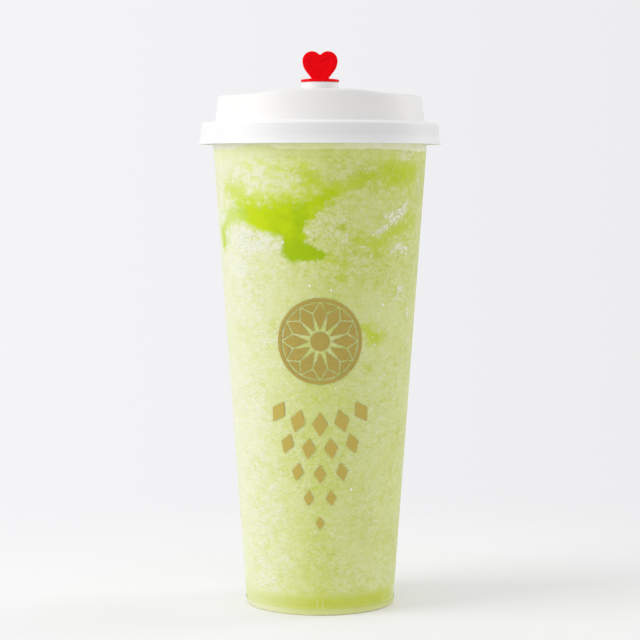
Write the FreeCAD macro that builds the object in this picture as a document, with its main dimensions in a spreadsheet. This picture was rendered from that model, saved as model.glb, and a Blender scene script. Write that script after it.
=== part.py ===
"""A slush drink in a lidded takeaway cup, as a parametric FreeCAD document, in millimetres.

The frame has its origin at the middle of the cup's base, on the table, with +Z up and the flat
faces of the heart looking along -Y and +Y. The pieces, each a node of its own:
  cup         injection-moulded cup: conical wall, recessed floor on a foot ring, ribs, rim
  syrup       the layer of melon syrup that has settled on the cup's floor
  smoothie    the slush that fills the cup up to its level
  lid         moulded press-fit lid: flared skirt, snap bead, seal ring, arched crown, straw collar
  heart_plug  heart-shaped stopper, snapped into the straw hole
"""
import FreeCAD
import Part
import Sketcher

import math
import operator
import os

XZ, XY, Z_AXIS = "XZ_Plane", "XY_Plane", "Z_Axis"
FULL_TURN = 360.0
SIGNS = {"+": operator.add, "-": operator.sub, "*": operator.mul, "/": operator.truediv}

doc = FreeCAD.newDocument("honeydew_smoothie")
sheet = doc.addObject("Spreadsheet::Sheet", "Sizes")


# ---------------------------------------------------------------- sizes that know their formula

class Size:
    """A length with the spreadsheet formula it comes from, so that sums stay bound to the cells."""

    def __init__(self, value, formula=None):
        self.value = float(value)
        self.formula = formula or repr(self.value)

    def __add__(self, other):
        return combined(self, "+", other)

    def __sub__(self, other):
        return combined(self, "-", other)

    def __mul__(self, other):
        return combined(self, "*", other)

    def __truediv__(self, other):
        return combined(self, "/", other)

    def __neg__(self):
        return combined(self, "*", -1)

    def root(self):
        return Size(math.sqrt(self.value), f"sqrt({self.formula})")


def combined(left, sign, right):
    """The sum, difference, product or quotient of two sizes, or of a size and a number."""
    right = right if isinstance(right, Size) else Size(right)
    return Size(SIGNS[sign](left.value, right.value), f"({left.formula} {sign} {right.formula})")


def size(alias, value, note):
    """Writes one driving dimension as a row of the sheet and gives it back as a Size."""
    row = len(rows) + 1
    rows.append(alias)
    sheet.set(f"A{row}", alias)
    sheet.set(f"B{row}", str(value))
    sheet.set(f"C{row}", note)
    sheet.setAlias(f"B{row}", alias)
    return Size(value, f"Sizes.{alias}")


NOTHING = Size(0)
rows = []

# the cup
cup_height = size("cup_height", 188.0, "table to the top of the rim")
base_radius = size("base_radius", 29.3, "outside of the wall, carried down to the table")
wall_slope = size("wall_slope", 0.0705, "growth of the wall's radius for each mm of height")
wall_thick = size("wall_thick", 0.8, "wall of the cup")
floor_height = size("floor_height", 2.1, "table to the inside of the floor")
floor_thick = size("floor_thick", 0.9, "floor of the cup")
foot_width = size("foot_width", 2.4, "width of the ring that stands on the table")
floor_round = size("floor_round", 1.6, "radius between the floor and the wall, inside")
base_round = size("base_round", 0.7, "radius of the outer edge of the base")
rim_radius = size("rim_radius", 45.0, "outside of the rim: a 90 mm cup")
rim_thick = size("rim_thick", 1.0, "thickness of the rim's ledge and of its turned-down lip")
rim_depth = size("rim_depth", 2.6, "height of the turned-down lip")
rim_round = size("rim_round", 0.45, "radius of the rim's edges")
RIBS = 6
rib_width = size("rib_width", 2.0, "stacking rib, along the wall")
rib_depth = size("rib_depth", 0.5, "stacking rib, in from the foot of the wall")
rib_height = size("rib_height", 5.3, "stacking rib, up from the floor")
gate_radius = size("gate_radius", 4.0, "shallow dimple around the moulding gate, under the floor")
gate_depth = size("gate_depth", 0.3, "depth of that dimple")
gate_nub = size("gate_nub", 1.1, "radius of the cut-off gate in the dimple")

# the drink
syrup_level = size("syrup_level", 8.0, "table to the top of the settled syrup")
drink_level = size("drink_level", 181.2, "table to the slush's edge, where it meets the wall")
drink_crown = size("drink_crown", 2.4, "rise of the slush from the wall to the middle")

# the lid
lid_thick = size("lid_thick", 1.0, "wall of the lid")
skirt_radius = size("skirt_radius", 46.2, "outside of the skirt, at the shoulder")
skirt_low = size("skirt_low", 46.75, "outside of the skirt, where its flare begins")
skirt_height = size("skirt_height", 8.4, "shoulder of the lid down to the edge of the skirt")
flare_radius = size("flare_radius", 47.6, "outside of the skirt's edge")
flare_height = size("flare_height", 2.6, "height of the flared stretch of the skirt")
flare_curve = size("flare_curve", 5.2, "radius of the flare's hollow curve")
shoulder_round = size("shoulder_round", 1.2, "radius of the skirt's top edge")
skirt_gap = size("skirt_gap", 0.15, "room between the cup's rim and the skirt")
bead_depth = size("bead_depth", 0.5, "how far the snap bead stands out of the skirt's inside")
bead_height = size("bead_height", 1.3, "height of the snap bead")
bead_drop = size("bead_drop", 0.2, "room between the rim's lip and the snap bead under it")
seal_depth = size("seal_depth", 2.6, "seal ring, down into the cup's mouth")
seal_gap = size("seal_gap", 0.15, "room between the seal ring's tip and the cup's wall")
seal_draft = size("seal_draft", 0.3, "taper of the seal ring towards its tip")
crown_radius = size("crown_radius", 41.0, "outside of the crown, at the shoulder")
crown_slope = size("crown_slope", 0.12, "lean of the crown's wall, inwards for each mm of height")
crown_height = size("crown_height", 10.4, "shoulder to the low stretches of the roof")
crown_round = size("crown_round", 1.4, "radius of the crown's top edge")
crown_foot = size("crown_foot", 0.5, "radius between the crown's wall and the shoulder")
arch_rise = size("arch_rise", 1.5, "rise of the arch over the rest of the roof")
arch_top = size("arch_top", 9.0, "half the width of the arch's level top")
arch_foot = size("arch_foot", 31.0, "half the width of the arch at its foot")
collar_radius = size("collar_radius", 7.25, "outside of the straw collar, at its top")
collar_draft = size("collar_draft", 0.2, "how much wider the collar is at the roof")
collar_height = size("collar_height", 4.0, "top of the arch to the top of the collar")
collar_round = size("collar_round", 0.5, "radius between the collar and the roof")
collar_edge = size("collar_edge", 0.45, "radius of the collar's top edge")
straw_hole = size("straw_hole", 6.0, "radius of the straw hole")

# the plug
plug_radius = size("plug_radius", 7.5, "radius of the plug's flange")
plug_edge = size("plug_edge", 0.9, "thickness of the flange at its edge")
plug_dome = size("plug_dome", 0.6, "rise of the flange towards its middle")
stem_gap = size("stem_gap", 0.1, "room between the stem and the straw hole")
stem_length = size("stem_length", 7.2, "flange down to the tip of the stem")
stem_wall = size("stem_wall", 1.1, "wall of the hollow stem")
stem_bead = size("stem_bead", 0.3, "how far the stem's bead stands out under the roof")
bead_length = size("bead_length", 1.2, "height of the stem's bead")
heart_thick = size("heart_thick", 2.6, "thickness of the heart")
lobe_radius = size("lobe_radius", 3.75, "radius of the heart's two lobes")
lobe_apart = size("lobe_apart", 3.12, "middle of the heart to the middle of a lobe")
lobe_height = size("lobe_height", 6.7, "top of the flange to the middle of the lobes")
flank_shift = size("flank_shift", 0.27, "middle of the heart to the middle of a flank")
heart_round = size("heart_round", 0.7, "radius of the heart's edges")
panel_inset = size("panel_inset", 2.4, "width of the border round the heart's sunk panel")
panel_depth = size("panel_depth", 0.3, "depth of the sunk panel")
flange_round = size("flange_round", 0.35, "radius of the flange's upper edge")
panel_round = size("panel_round", 0.25, "radius of the sunk panel's rim")
FLANK_COS, FLANK_SIN = math.cos(math.radians(38)), math.sin(math.radians(38))  # end of the flank

# heights and radii that follow from those
ledge = cup_height - rim_thick
lip_under = cup_height - rim_depth
floor_under = floor_height - floor_thick
shoulder = cup_height + lid_thick
skirt_edge = shoulder - skirt_height
roof = shoulder + crown_height
arch_height = roof + arch_rise
collar_top = arch_height + collar_height
flange_top = collar_top + plug_edge + plug_dome


def wall_outside(height):
    """Outside radius of the cup's wall at a height."""
    return base_radius + wall_slope * height


def wall_inside(height):
    """Inside radius of the cup's wall at a height."""
    return wall_outside(height) - wall_thick


def crown_outside(height):
    """Outside radius of the crown's wall at a height."""
    return crown_radius - crown_slope * (height - shoulder)


# ---------------------------------------------------------------- ways of building

def new_body(label):
    body = doc.addObject("PartDesign::Body", label)
    body.Label = label
    return body


def origin_part(body, role):
    """The body's own plane or axis with that role."""
    return next(feature for feature in body.Origin.OriginFeatures if feature.Role == role)


def new_sketch(body, name, role=XZ, offset=NOTHING):
    """A sketch on one of the body's own planes, moved along that plane's normal by offset."""
    sketch = body.newObject("Sketcher::SketchObject", name)
    sketch.AttachmentSupport = (origin_part(body, role), [""])
    sketch.MapMode = "FlatFace"
    sketch.setExpression(".AttachmentOffset.Base.z", offset.formula)
    return sketch


def bind(sketch, kind, where, wanted):
    """Adds a dimension to the sketch and ties it to the sheet."""
    number = sketch.addConstraint(Sketcher.Constraint(kind, *where, wanted.value))
    sketch.renameConstraint(number, f"size_{number}")
    sketch.setExpression(f"Constraints.size_{number}", wanted.formula)


def arc_between(start, end, radius, side):
    """The arc under half a turn from start to end, with its centre on the left (1) or right (-1)."""
    half = (end - start) * 0.5
    left = FreeCAD.Vector(-half.y, half.x, 0).normalize()
    centre = start + half + left * side * math.sqrt(radius**2 - half.Length**2)
    turns = [math.atan2(p.y - centre.y, p.x - centre.x) for p in (start, end)[::side]]
    return Part.ArcOfCircle(Part.Circle(centre, FreeCAD.Vector(0, 0, 1), radius), *turns)


def outline(sketch, corners):
    """Draws a closed outline whose every corner is bound to the sheet.

    A corner is (x, y), or (x, y, radius, side) where an arc leads on to the next corner, with
    its centre on the left (1) or right (-1) of the way.
    """
    edges = []
    for here, after in zip(corners, corners[1:] + corners[:1]):
        start, end = (FreeCAD.Vector(c[0].value, c[1].value, 0) for c in (here, after))
        if len(here) == 4:
            radius, side = here[2:]
            edge = sketch.addGeometry(arc_between(start, end, radius.value, side))
            bind(sketch, "Radius", (edge,), radius)
        else:
            side = 1
            edge = sketch.addGeometry(Part.LineSegment(start, end))
        first, last = (1, 2)[::side]
        bind(sketch, "DistanceX", (-1, 1, edge, first), here[0])
        bind(sketch, "DistanceY", (-1, 1, edge, first), here[1])
        edges.append((edge, first, last))
    for (edge, _, last), (following, first, _) in zip(edges, edges[1:] + edges[:1]):
        sketch.addConstraint(Sketcher.Constraint("Coincident", edge, last, following, first))
    return sketch


def turned(body, name, corners, kind="Revolution"):
    """Turns an outline of the right half round the Z axis, to add it or, as a Groove, to cut it."""
    sketch = outline(new_sketch(body, name + "_outline"), corners)
    feature = body.newObject("PartDesign::" + kind, name)
    feature.Profile = sketch
    feature.ReferenceAxis = (sketch, ["V_Axis"])
    feature.Angle = FULL_TURN
    doc.recompute()
    return feature


def raised(body, name, sketch, length, both_ways=False):
    """Pads a sketch along its plane's normal."""
    pad = body.newObject("PartDesign::Pad", name)
    pad.Profile = sketch
    pad.Midplane = both_ways
    pad.setExpression("Length", length.formula)
    doc.recompute()
    return pad


def rounded(body, name, radius, wanted):
    """Rounds those edges of the body so far that wanted(edge) picks."""
    base = body.Tip
    names = []
    for number, edge in enumerate(base.Shape.Edges, 1):
        if not edge.Degenerated and wanted(edge):
            names.append(f"Edge{number}")
    if not names:
        raise ValueError(f"{name}: no edge to round")
    fillet = body.newObject("PartDesign::Fillet", name)
    fillet.Base = (base, names)
    fillet.setExpression("Radius", radius.formula)
    doc.recompute()


def ring(radius, height, slack=0.05):
    """Picks the circular edges round the Z axis with that radius and height."""

    def wanted(edge):
        curve = edge.Curve
        if not isinstance(curve, Part.Circle):
            return False
        off_axis = math.hypot(curve.Center.x, curve.Center.y)
        misses = (curve.Radius - radius.value, curve.Center.z - height.value, off_axis)
        return all(abs(miss) < slack for miss in misses)

    return wanted


def boolean(kind, label, base, tool):
    """A Part::Cut or Part::Fuse of two finished objects."""
    result = doc.addObject("Part::" + kind, label)
    result.Label = label
    result.Base = base
    result.Tool = tool
    doc.recompute()
    return result


# ---------------------------------------------------------------- cup

def make_cup():
    """Conical wall from the foot ring up to the rim's ledge, whose outer edge is turned down."""
    body = new_body("cup")
    foot_inside = base_radius - foot_width
    lip_inside = rim_radius - rim_thick
    turned(body, "cup_wall", [
        (foot_inside, NOTHING),
        (base_radius, NOTHING),
        (wall_outside(ledge), ledge),
        (lip_inside, ledge),
        (lip_inside, lip_under),
        (rim_radius, lip_under),
        (rim_radius, cup_height),
        (wall_inside(cup_height), cup_height),
        (wall_inside(floor_height), floor_height),
        (NOTHING, floor_height),
        (NOTHING, floor_under),
        (foot_inside, floor_under),
    ])
    rounded(body, "floor_corner", floor_round, ring(wall_inside(floor_height), floor_height))
    rounded(body, "base_edge", base_round, ring(base_radius, NOTHING))
    rounded(body, "rim_edge", rim_round, ring(rim_radius, cup_height))
    make_gate(body)
    make_ribs(body)
    return body


def make_gate(body):
    """A dimple under the floor, with the cut-off gate standing in it clear of the table."""
    depth = floor_under + gate_depth
    nub = floor_under - gate_depth
    turned(body, "gate_nub", [
        (NOTHING, nub),
        (gate_nub, nub),
        (gate_nub, depth),
        (NOTHING, depth),
    ])
    turned(body, "gate_dimple", [
        (gate_nub, nub),
        (gate_radius, nub),
        (gate_radius, floor_under),
        (gate_radius - gate_depth, depth),
        (gate_nub, depth),
    ], kind="Groove")


def make_ribs(body):
    """Upright ribs at the foot of the wall, which keep stacked cups from jamming."""
    inner = wall_inside(floor_height) - rib_depth
    outer = wall_inside(floor_height + rib_height) + wall_thick / 4
    sketch = outline(new_sketch(body, "rib_outline", XY, floor_under), [
        (-rib_width / 2, -outer),
        (rib_width / 2, -outer),
        (rib_width / 2, -inner),
        (-rib_width / 2, -inner),
    ])
    rib = raised(body, "rib", sketch, floor_thick + rib_height)
    ribs = body.newObject("PartDesign::PolarPattern", "ribs")
    ribs.Originals = [rib]
    ribs.Axis = (origin_part(body, Z_AXIS), [""])
    ribs.Angle = FULL_TURN
    ribs.Occurrences = RIBS
    body.Tip = ribs
    doc.recompute()


# ---------------------------------------------------------------- drink

def poured(label, cup, corners):
    """A filling: turned out to the middle of the cup's wall, then cut back by the cup itself."""
    blank = new_body(label + "_blank")
    turned(blank, label + "_fill", corners)
    return boolean("Cut", label, blank, cup)


def make_syrup(cup):
    low = floor_height - floor_thick / 2
    return poured("syrup", cup, [
        (NOTHING, low),
        (wall_outside(low) - wall_thick / 2, low),
        (wall_outside(syrup_level) - wall_thick / 2, syrup_level),
        (NOTHING, syrup_level),
    ])


def make_smoothie(cup):
    """The slush, from the syrup up to its gently heaped top."""
    edge = wall_outside(drink_level) - wall_thick / 2
    heap = (edge * edge + drink_crown * drink_crown) / (drink_crown * 2)
    return poured("smoothie", cup, [
        (NOTHING, syrup_level),
        (wall_outside(syrup_level) - wall_thick / 2, syrup_level),
        (edge, drink_level, heap, 1),
        (NOTHING, drink_level + drink_crown),
    ])


# ---------------------------------------------------------------- lid

def cut_roof(body, low):
    """Cuts away all that stands above the arched roof, whose level sides lie at the height low."""
    half = (arch_foot - arch_top) / 2
    bend = (half * half + arch_rise * arch_rise / 4) / arch_rise
    knee, knee_height = arch_top + half, low + arch_rise / 2
    sketch = outline(new_sketch(body, body.Label + "_roof_outline"), [
        (-flare_radius, low),
        (-arch_foot, low, bend, 1),
        (-knee, knee_height, bend, -1),
        (-arch_top, low + arch_rise),
        (arch_top, low + arch_rise, bend, -1),
        (knee, knee_height, bend, 1),
        (arch_foot, low),
        (flare_radius, low),
        (flare_radius, low + crown_height),
        (-flare_radius, low + crown_height),
    ])
    roof_cut = body.newObject("PartDesign::Pocket", body.Label + "_roof")
    roof_cut.Profile = sketch
    roof_cut.Midplane = True
    roof_cut.setExpression("Length", (flare_radius * 2).formula)
    doc.recompute()


def on_crown_edge(edge):
    """Whether an edge lies where the crown's wall meets the roof."""
    ends = [edge.valueAt(p) for p in (edge.FirstParameter, edge.LastParameter)]
    return all(
        p.z > roof.value - 0.1 and abs(math.hypot(p.x, p.y) - crown_outside(roof).value) < 0.5
        for p in ends
    )


def make_lid_outside():
    """The lid as if solid: flared skirt, shoulder, leaning crown under the arched roof, collar."""
    body = new_body("lid_outside")
    over = roof + arch_rise * 2
    turned(body, "skirt_and_crown", [
        (NOTHING, skirt_edge),
        (flare_radius, skirt_edge, flare_curve, -1),
        (skirt_low, skirt_edge + flare_height),
        (skirt_radius, shoulder),
        (crown_radius, shoulder),
        (crown_outside(over), over),
        (NOTHING, over),
    ])
    cut_roof(body, roof)
    rounded(body, "shoulder_edge", shoulder_round, ring(skirt_radius, shoulder))
    rounded(body, "crown_foot_edge", crown_foot, ring(crown_radius, shoulder))
    rounded(body, "crown_edge", crown_round, on_crown_edge)
    turned(body, "collar", [
        (NOTHING, roof),
        (collar_radius + collar_draft, roof),
        (collar_radius, collar_top),
        (NOTHING, collar_top),
    ])
    collar_at_arch = collar_radius + collar_draft * (collar_height / (collar_top - roof))
    rounded(body, "collar_foot_edge", collar_round, ring(collar_at_arch, arch_height))
    rounded(body, "collar_top_edge", collar_edge, ring(collar_radius, collar_top))
    return body


def make_lid_inside():
    """The space in the lid: seat of the rim, snap bead, seal ring, crown and straw hole."""
    body = new_body("lid_inside")
    inside = rim_radius + skirt_gap
    bead_top = lip_under - bead_drop
    seal = wall_inside(lip_under) - seal_gap
    seal_tip = cup_height - seal_depth
    crown_inside = crown_radius - lid_thick
    over = roof + arch_rise * 2
    below = skirt_edge - lid_thick
    turned(body, "seat_and_crown", [
        (NOTHING, below),
        (flare_radius - lid_thick, below),
        (flare_radius - lid_thick, skirt_edge),
        (inside, bead_top - bead_height),
        (inside - bead_depth, bead_top - bead_height / 2),
        (inside, bead_top),
        (inside, cup_height),
        (seal, cup_height),
        (seal - seal_draft, seal_tip),
        (crown_inside, seal_tip),
        (crown_inside, cup_height),
        (crown_outside(over) - lid_thick, over),
        (NOTHING, over),
    ])
    cut_roof(body, roof - lid_thick)
    turned(body, "straw_hole", [
        (NOTHING, shoulder),
        (straw_hole, shoulder),
        (straw_hole, collar_top + lid_thick),
        (NOTHING, collar_top + lid_thick),
    ])
    return body


def make_lid():
    return boolean("Cut", "lid", make_lid_outside(), make_lid_inside())


# ---------------------------------------------------------------- heart plug

def heart(sketch, inset=NOTHING, foot=None):
    """A heart drawn in by inset: two lobes, two round flanks, then straight sides.

    The inset keeps the centres of the arcs, and turns the notch into an arc about its own point.
    The sides run down to the tip, or end at the height foot.
    """
    lobe = lobe_radius - inset
    flank = lobe_apart - flank_shift + lobe
    middle = flange_top + lobe_height
    knee, knee_height = flank_shift + flank * FLANK_COS, middle - flank * FLANK_SIN
    notch = (lobe_radius * lobe_radius - lobe_apart * lobe_apart).root()
    share = inset / lobe_radius
    dent, dent_height = lobe_apart * share, middle + notch - notch * share
    if foot:
        foot_x = knee - (knee_height - foot) * (FLANK_SIN / FLANK_COS)
        ends = [(-foot_x, foot), (foot_x, foot)]
    else:
        ends = [(NOTHING, knee_height - knee * (FLANK_COS / FLANK_SIN))]
    between = [(dent, dent_height, inset, -1)] if inset.value else []
    return outline(sketch, [
        *ends,
        (knee, knee_height, flank, 1),
        (lobe_apart + lobe, middle, lobe, 1),
        *between,
        (-dent, dent_height, lobe, 1),
        (-lobe_apart - lobe, middle, flank, 1),
        (-knee, knee_height),
    ])


def make_heart():
    """The upright heart plate, with a shallow sunk panel in each face."""
    body = new_body("heart_plate")
    foot = collar_top + plug_edge / 2
    face = heart_thick / 2

    def on_face(edge):
        ends = [edge.valueAt(p) for p in (edge.FirstParameter, edge.LastParameter)]
        flat = all(abs(abs(p.y) - face.value) < 0.01 for p in ends)
        return flat and max(p.z for p in ends) > foot.value + 0.1

    raised(body, "plate", heart(new_sketch(body, "heart_outline"), foot=foot), heart_thick, True)
    rounded(body, "heart_edge", heart_round, on_face)
    for side, name in ((1, "front"), (-1, "back")):
        sketch = heart(new_sketch(body, name + "_panel_outline", XZ, face * side), panel_inset)
        panel = body.newObject("PartDesign::Pocket", name + "_panel")
        panel.Profile = sketch
        panel.Reversed = side < 0
        panel.setExpression("Length", panel_depth.formula)
        doc.recompute()

    def on_panel(edge):
        ends = [edge.valueAt(p) for p in (edge.FirstParameter, edge.LastParameter)]
        reach = (lobe_apart + lobe_radius - panel_inset).value + 0.05
        return on_face(edge) and all(abs(p.x) < reach for p in ends)

    rounded(body, "panel_edge", panel_round, on_panel)
    return body


def make_stopper():
    """Round flange with a low dome, on a hollow stem that a bead holds under the roof."""
    body = new_body("stopper")
    stem = straw_hole - stem_gap
    bore = stem - stem_wall
    under_roof = arch_height - lid_thick - stem_gap
    dome = (plug_radius * plug_radius + plug_dome * plug_dome) / (plug_dome * 2)
    turned(body, "flange_and_stem", [
        (bore, collar_top - stem_length),
        (stem, collar_top - stem_length),
        (stem, under_roof - bead_length),
        (straw_hole + stem_bead, under_roof - bead_length / 2),
        (stem, under_roof),
        (stem, collar_top),
        (plug_radius, collar_top),
        (plug_radius, collar_top + plug_edge, dome, 1),
        (NOTHING, flange_top),
        (NOTHING, collar_top),
        (bore, collar_top),
    ])
    rounded(body, "flange_edge", flange_round, ring(plug_radius, collar_top + plug_edge))
    return body


def make_plug():
    return boolean("Fuse", "heart_plug", make_stopper(), make_heart())


# ---------------------------------------------------------------- assembly, checks and files

cup_part = make_cup()
pieces = [cup_part, make_syrup(cup_part), make_smoothie(cup_part), make_lid(), make_plug()]

doc.recompute()
for thing in doc.Objects:
    if {"Invalid", "Error"} & set(thing.State):
        raise RuntimeError(f"{thing.Label} did not build: {thing.State}")
for piece in pieces:
    shape = piece.Shape
    if shape.isNull() or not shape.isValid() or len(shape.Solids) != 1:
        raise RuntimeError(f"{piece.Label} is not one valid solid")

os.makedirs("parts", exist_ok=True)
for piece in pieces:
    piece.Shape.exportStep(f"parts/{piece.Label}.step")
    print(f"{piece.Label}: {piece.Shape.Volume / 1000:.1f} cm3")
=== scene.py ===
"""Looks of a honeydew slush in its lidded takeaway cup, from the bottom of the cup upwards.

Meshes are in metres, +Z up and -Y towards the flat of the heart, with sizes and places from the
frame. Materials, and the runs of syrup, frost and air, count in millimetres and degrees.
"""
import math

import bmesh
import bpy
import numpy as np
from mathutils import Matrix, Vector, noise


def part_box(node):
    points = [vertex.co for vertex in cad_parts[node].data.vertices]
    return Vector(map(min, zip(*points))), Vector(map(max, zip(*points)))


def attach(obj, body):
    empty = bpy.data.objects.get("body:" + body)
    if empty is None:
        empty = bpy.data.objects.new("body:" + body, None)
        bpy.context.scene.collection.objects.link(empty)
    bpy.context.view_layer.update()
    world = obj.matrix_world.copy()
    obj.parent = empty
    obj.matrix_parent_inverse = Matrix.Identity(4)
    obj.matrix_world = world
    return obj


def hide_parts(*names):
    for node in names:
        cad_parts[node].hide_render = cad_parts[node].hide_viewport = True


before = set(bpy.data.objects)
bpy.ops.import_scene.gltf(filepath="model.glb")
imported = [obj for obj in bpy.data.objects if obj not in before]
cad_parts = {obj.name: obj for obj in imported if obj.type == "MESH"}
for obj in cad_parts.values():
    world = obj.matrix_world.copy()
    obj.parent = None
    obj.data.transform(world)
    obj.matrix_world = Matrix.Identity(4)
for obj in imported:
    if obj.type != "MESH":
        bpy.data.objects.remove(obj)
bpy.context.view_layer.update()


# ---------------------------------------------------------------- camera
# A long lens about 0.8 m away, level with the upper third of the cup and tipped slightly down,
# so that the rims read as shallow ellipses.

CAMERA_DISTANCE = 0.8055
CAMERA_HEIGHT = 0.1697
CAMERA_TIP = math.radians(4.12)
LENS_MM, SENSOR_MM = 115.3, 36.0

camera = bpy.data.objects.new("camera", bpy.data.cameras.new("camera"))
camera.data.lens, camera.data.sensor_width = LENS_MM, SENSOR_MM
camera.location = (0, -CAMERA_DISTANCE, CAMERA_HEIGHT)
camera.rotation_euler = (math.pi / 2 - CAMERA_TIP, 0, 0)
bpy.context.scene.collection.objects.link(camera)
bpy.context.scene.camera = camera


# ---------------------------------------------------------------- cup
# Injection-moulded polypropylene, under a millimetre thick, with a fine satin skin. Where the
# drink wets the inside it turns nearly clear. Dry, at the rim and the foot, it stays milky.

MM = 0.001
WET_FILM, DRY_FILM = 0.005, 0.85
MILKY = (0.95, 0.96, 0.86)
# The third foot colour is painted light: the foot is painted paler on its left, the side towards the
# lamp.
FOOT_GREEN, FOOT_LEFT_PAINTED_LIGHT, FOOT_PALE = (0.72, 0.77, 0.26), (0.84, 0.86, 0.55), (0.85, 0.88, 0.40)

# Where the looks of the cup fade in, nothing at the first number and all of it at the second:
# millimetres above the drink's edge, the floor and the table, then how far to the right, -1 to 1.
RIM_DRIES, FOOT_DRIES, FOOT_TINTED = (-0.8, 0.6), (0.5, 0.4), (40, 20)
FOOT_RING_PALE, FOOT_PAINTED_LIGHT_SIDE = (2.4, 0.2), (-0.1, -0.9)


class Signal:
    """A node's socket that can be reckoned with like a number."""

    def __init__(self, nodes, socket):
        self.nodes, self.socket = nodes, socket

    def _with(self, operation, other, turned=False):
        pair = (other, self) if turned else (self, other)
        return self.nodes.add("ShaderNodeMath", {"operation": operation}, dict(enumerate(pair)))

    def __add__(self, other):
        return self._with("ADD", other)

    def __radd__(self, other):
        return self._with("ADD", other, True)

    def __sub__(self, other):
        return self._with("SUBTRACT", other)

    def __rsub__(self, other):
        return self._with("SUBTRACT", other, True)

    def __mul__(self, other):
        return self._with("MULTIPLY", other)

    def __rmul__(self, other):
        return self._with("MULTIPLY", other, True)

    def __truediv__(self, other):
        return self._with("DIVIDE", other)

    def __pow__(self, other):
        return self._with("POWER", other)

    def _alone(self, operation):
        return self.nodes.add("ShaderNodeMath", {"operation": operation}, {0: self})

    def __abs__(self):
        return self._alone("ABSOLUTE")

    def sine(self):
        return self._alone("SINE")

    def cosine(self):
        return self._alone("COSINE")

    def rounded(self):
        return self._alone("ROUND")

    def least(self, other):
        return self._with("MINIMUM", other)

    def most(self, other):
        return self._with("MAXIMUM", other)

    def smooth(self, low, high):
        """0 below low, 1 above high, with a soft step between, or the other way round."""
        settings = {"interpolation_type": "SMOOTHSTEP"}
        ends = {"From Min": min(low, high), "From Max": max(low, high)}
        step = self.nodes.add("ShaderNodeMapRange", settings, {"Value": self, **ends})
        return 1 - step if low > high else step


class Nodes:
    """A node tree and the one way of adding a node to it."""

    def __init__(self, tree):
        self.tree = tree

    def add(self, kind, settings=None, sockets=None, out=0):
        """A node of that type: its settings first, then the values or links of its sockets."""
        node = self.tree.nodes.new(kind)
        for name, value in (settings or {}).items():
            if name == "stops":
                self._set_stops(node.color_ramp, value)
            else:
                setattr(node, name, value)
        for name, value in (sockets or {}).items():
            self.link(value, node.inputs[name])
        return Signal(self, node.outputs[out])

    def _set_stops(self, ramp, stops):
        while len(ramp.elements) < len(stops):
            ramp.elements.new(0.5)
        for element, (place, colour) in zip(ramp.elements, stops):
            element.position, element.color = place, (*colour, 1)

    def link(self, value, socket):
        if isinstance(value, Signal):
            self.tree.links.new(value.socket, socket)
        elif socket.type == "RGBA":
            socket.default_value = (*value, 1)
        else:
            socket.default_value = value

    def mixed(self, share, first, second):
        """The first colour where share is 0, the second where it is 1."""
        settings = {"data_type": "RGBA"}
        return self.add("ShaderNodeMix", settings, {0: share, 6: first, 7: second}, out=2)


class Finish(Nodes):
    """A material with one Principled shader and the ways of feeding it."""

    def __init__(self, name, **constants):
        self.material = bpy.data.materials.new(name)
        self.material.use_nodes = True
        super().__init__(self.material.node_tree)
        self.shader = self.tree.nodes["Principled BSDF"]
        self.feed(**constants)

    def feed(self, **inputs):
        for name, value in inputs.items():
            self.link(value, self.shader.inputs[name.replace("_", " ")])

    def place(self):
        """The object's own coordinates, as a vector in metres."""
        return self.add("ShaderNodeTexCoord", out=3)

    def millimetres(self, vector):
        """The vector's x, y and z in millimetres."""
        axes = [self.add("ShaderNodeSeparateXYZ", sockets={0: vector}, out=axis) for axis in range(3)]
        return [axis * (1 / MM) for axis in axes]

    def turned_by(self, x, y):
        """Radians round the cup, 0 at the front and more towards the right."""
        return self.add("ShaderNodeMath", {"operation": "ARCTAN2"}, {0: x, 1: 0 - y})

    def noise(self, vector, size, detail=2.0, roughness=0.5):
        """Soft noise, 0 to 1, whose blotches are about size across, in millimetres."""
        sockets = {"Vector": vector, "Scale": 1 / (size * MM), "Detail": detail, "Roughness": roughness}
        return self.add("ShaderNodeTexNoise", {}, sockets)

    def grains(self, vector, size, softness):
        """Rounded grains about size across, in millimetres: 0 in their middles, 1 between them."""
        sockets = {"Vector": vector, "Scale": 1 / (size * MM), "Smoothness": softness}
        return self.add("ShaderNodeTexVoronoi", {"feature": "SMOOTH_F1"}, sockets)

    def nudged(self, vector, size, distance):
        """The vector, pushed about by noise so that what is drawn on it grows irregular."""
        sockets = {"Vector": vector, "Scale": 1 / (size * MM), "Detail": 2.0}
        push = self.add("ShaderNodeTexNoise", {}, sockets, out=1)
        pushed = {0: distance * MM, 4: vector, 5: push}
        return self.add("ShaderNodeMix", {"data_type": "VECTOR"}, pushed, out=1)

    def bumped(self, height, depth, strength):
        """A normal from a height of 0 to 1 that stands for depth millimetres."""
        sockets = {"Height": height, "Distance": depth * MM, "Strength": strength}
        return self.add("ShaderNodeBump", {}, sockets)


def widest_ring(node):
    """Radius and height of a node's widest ring."""
    return max((math.hypot(v.co.x, v.co.y), v.co.z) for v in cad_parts[node].data.vertices)


def finish_node(node, finish):
    """Gives a CAD node its finish."""
    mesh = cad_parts[node].data
    mesh.materials.clear()
    mesh.materials.append(finish.material)


drink_radius, drink_level = widest_ring("smoothie")
syrup_radius, syrup_level = widest_ring("syrup")
floor_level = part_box("syrup")[0].z
wall_slope = (drink_radius - syrup_radius) / (drink_level - syrup_level)

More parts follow.
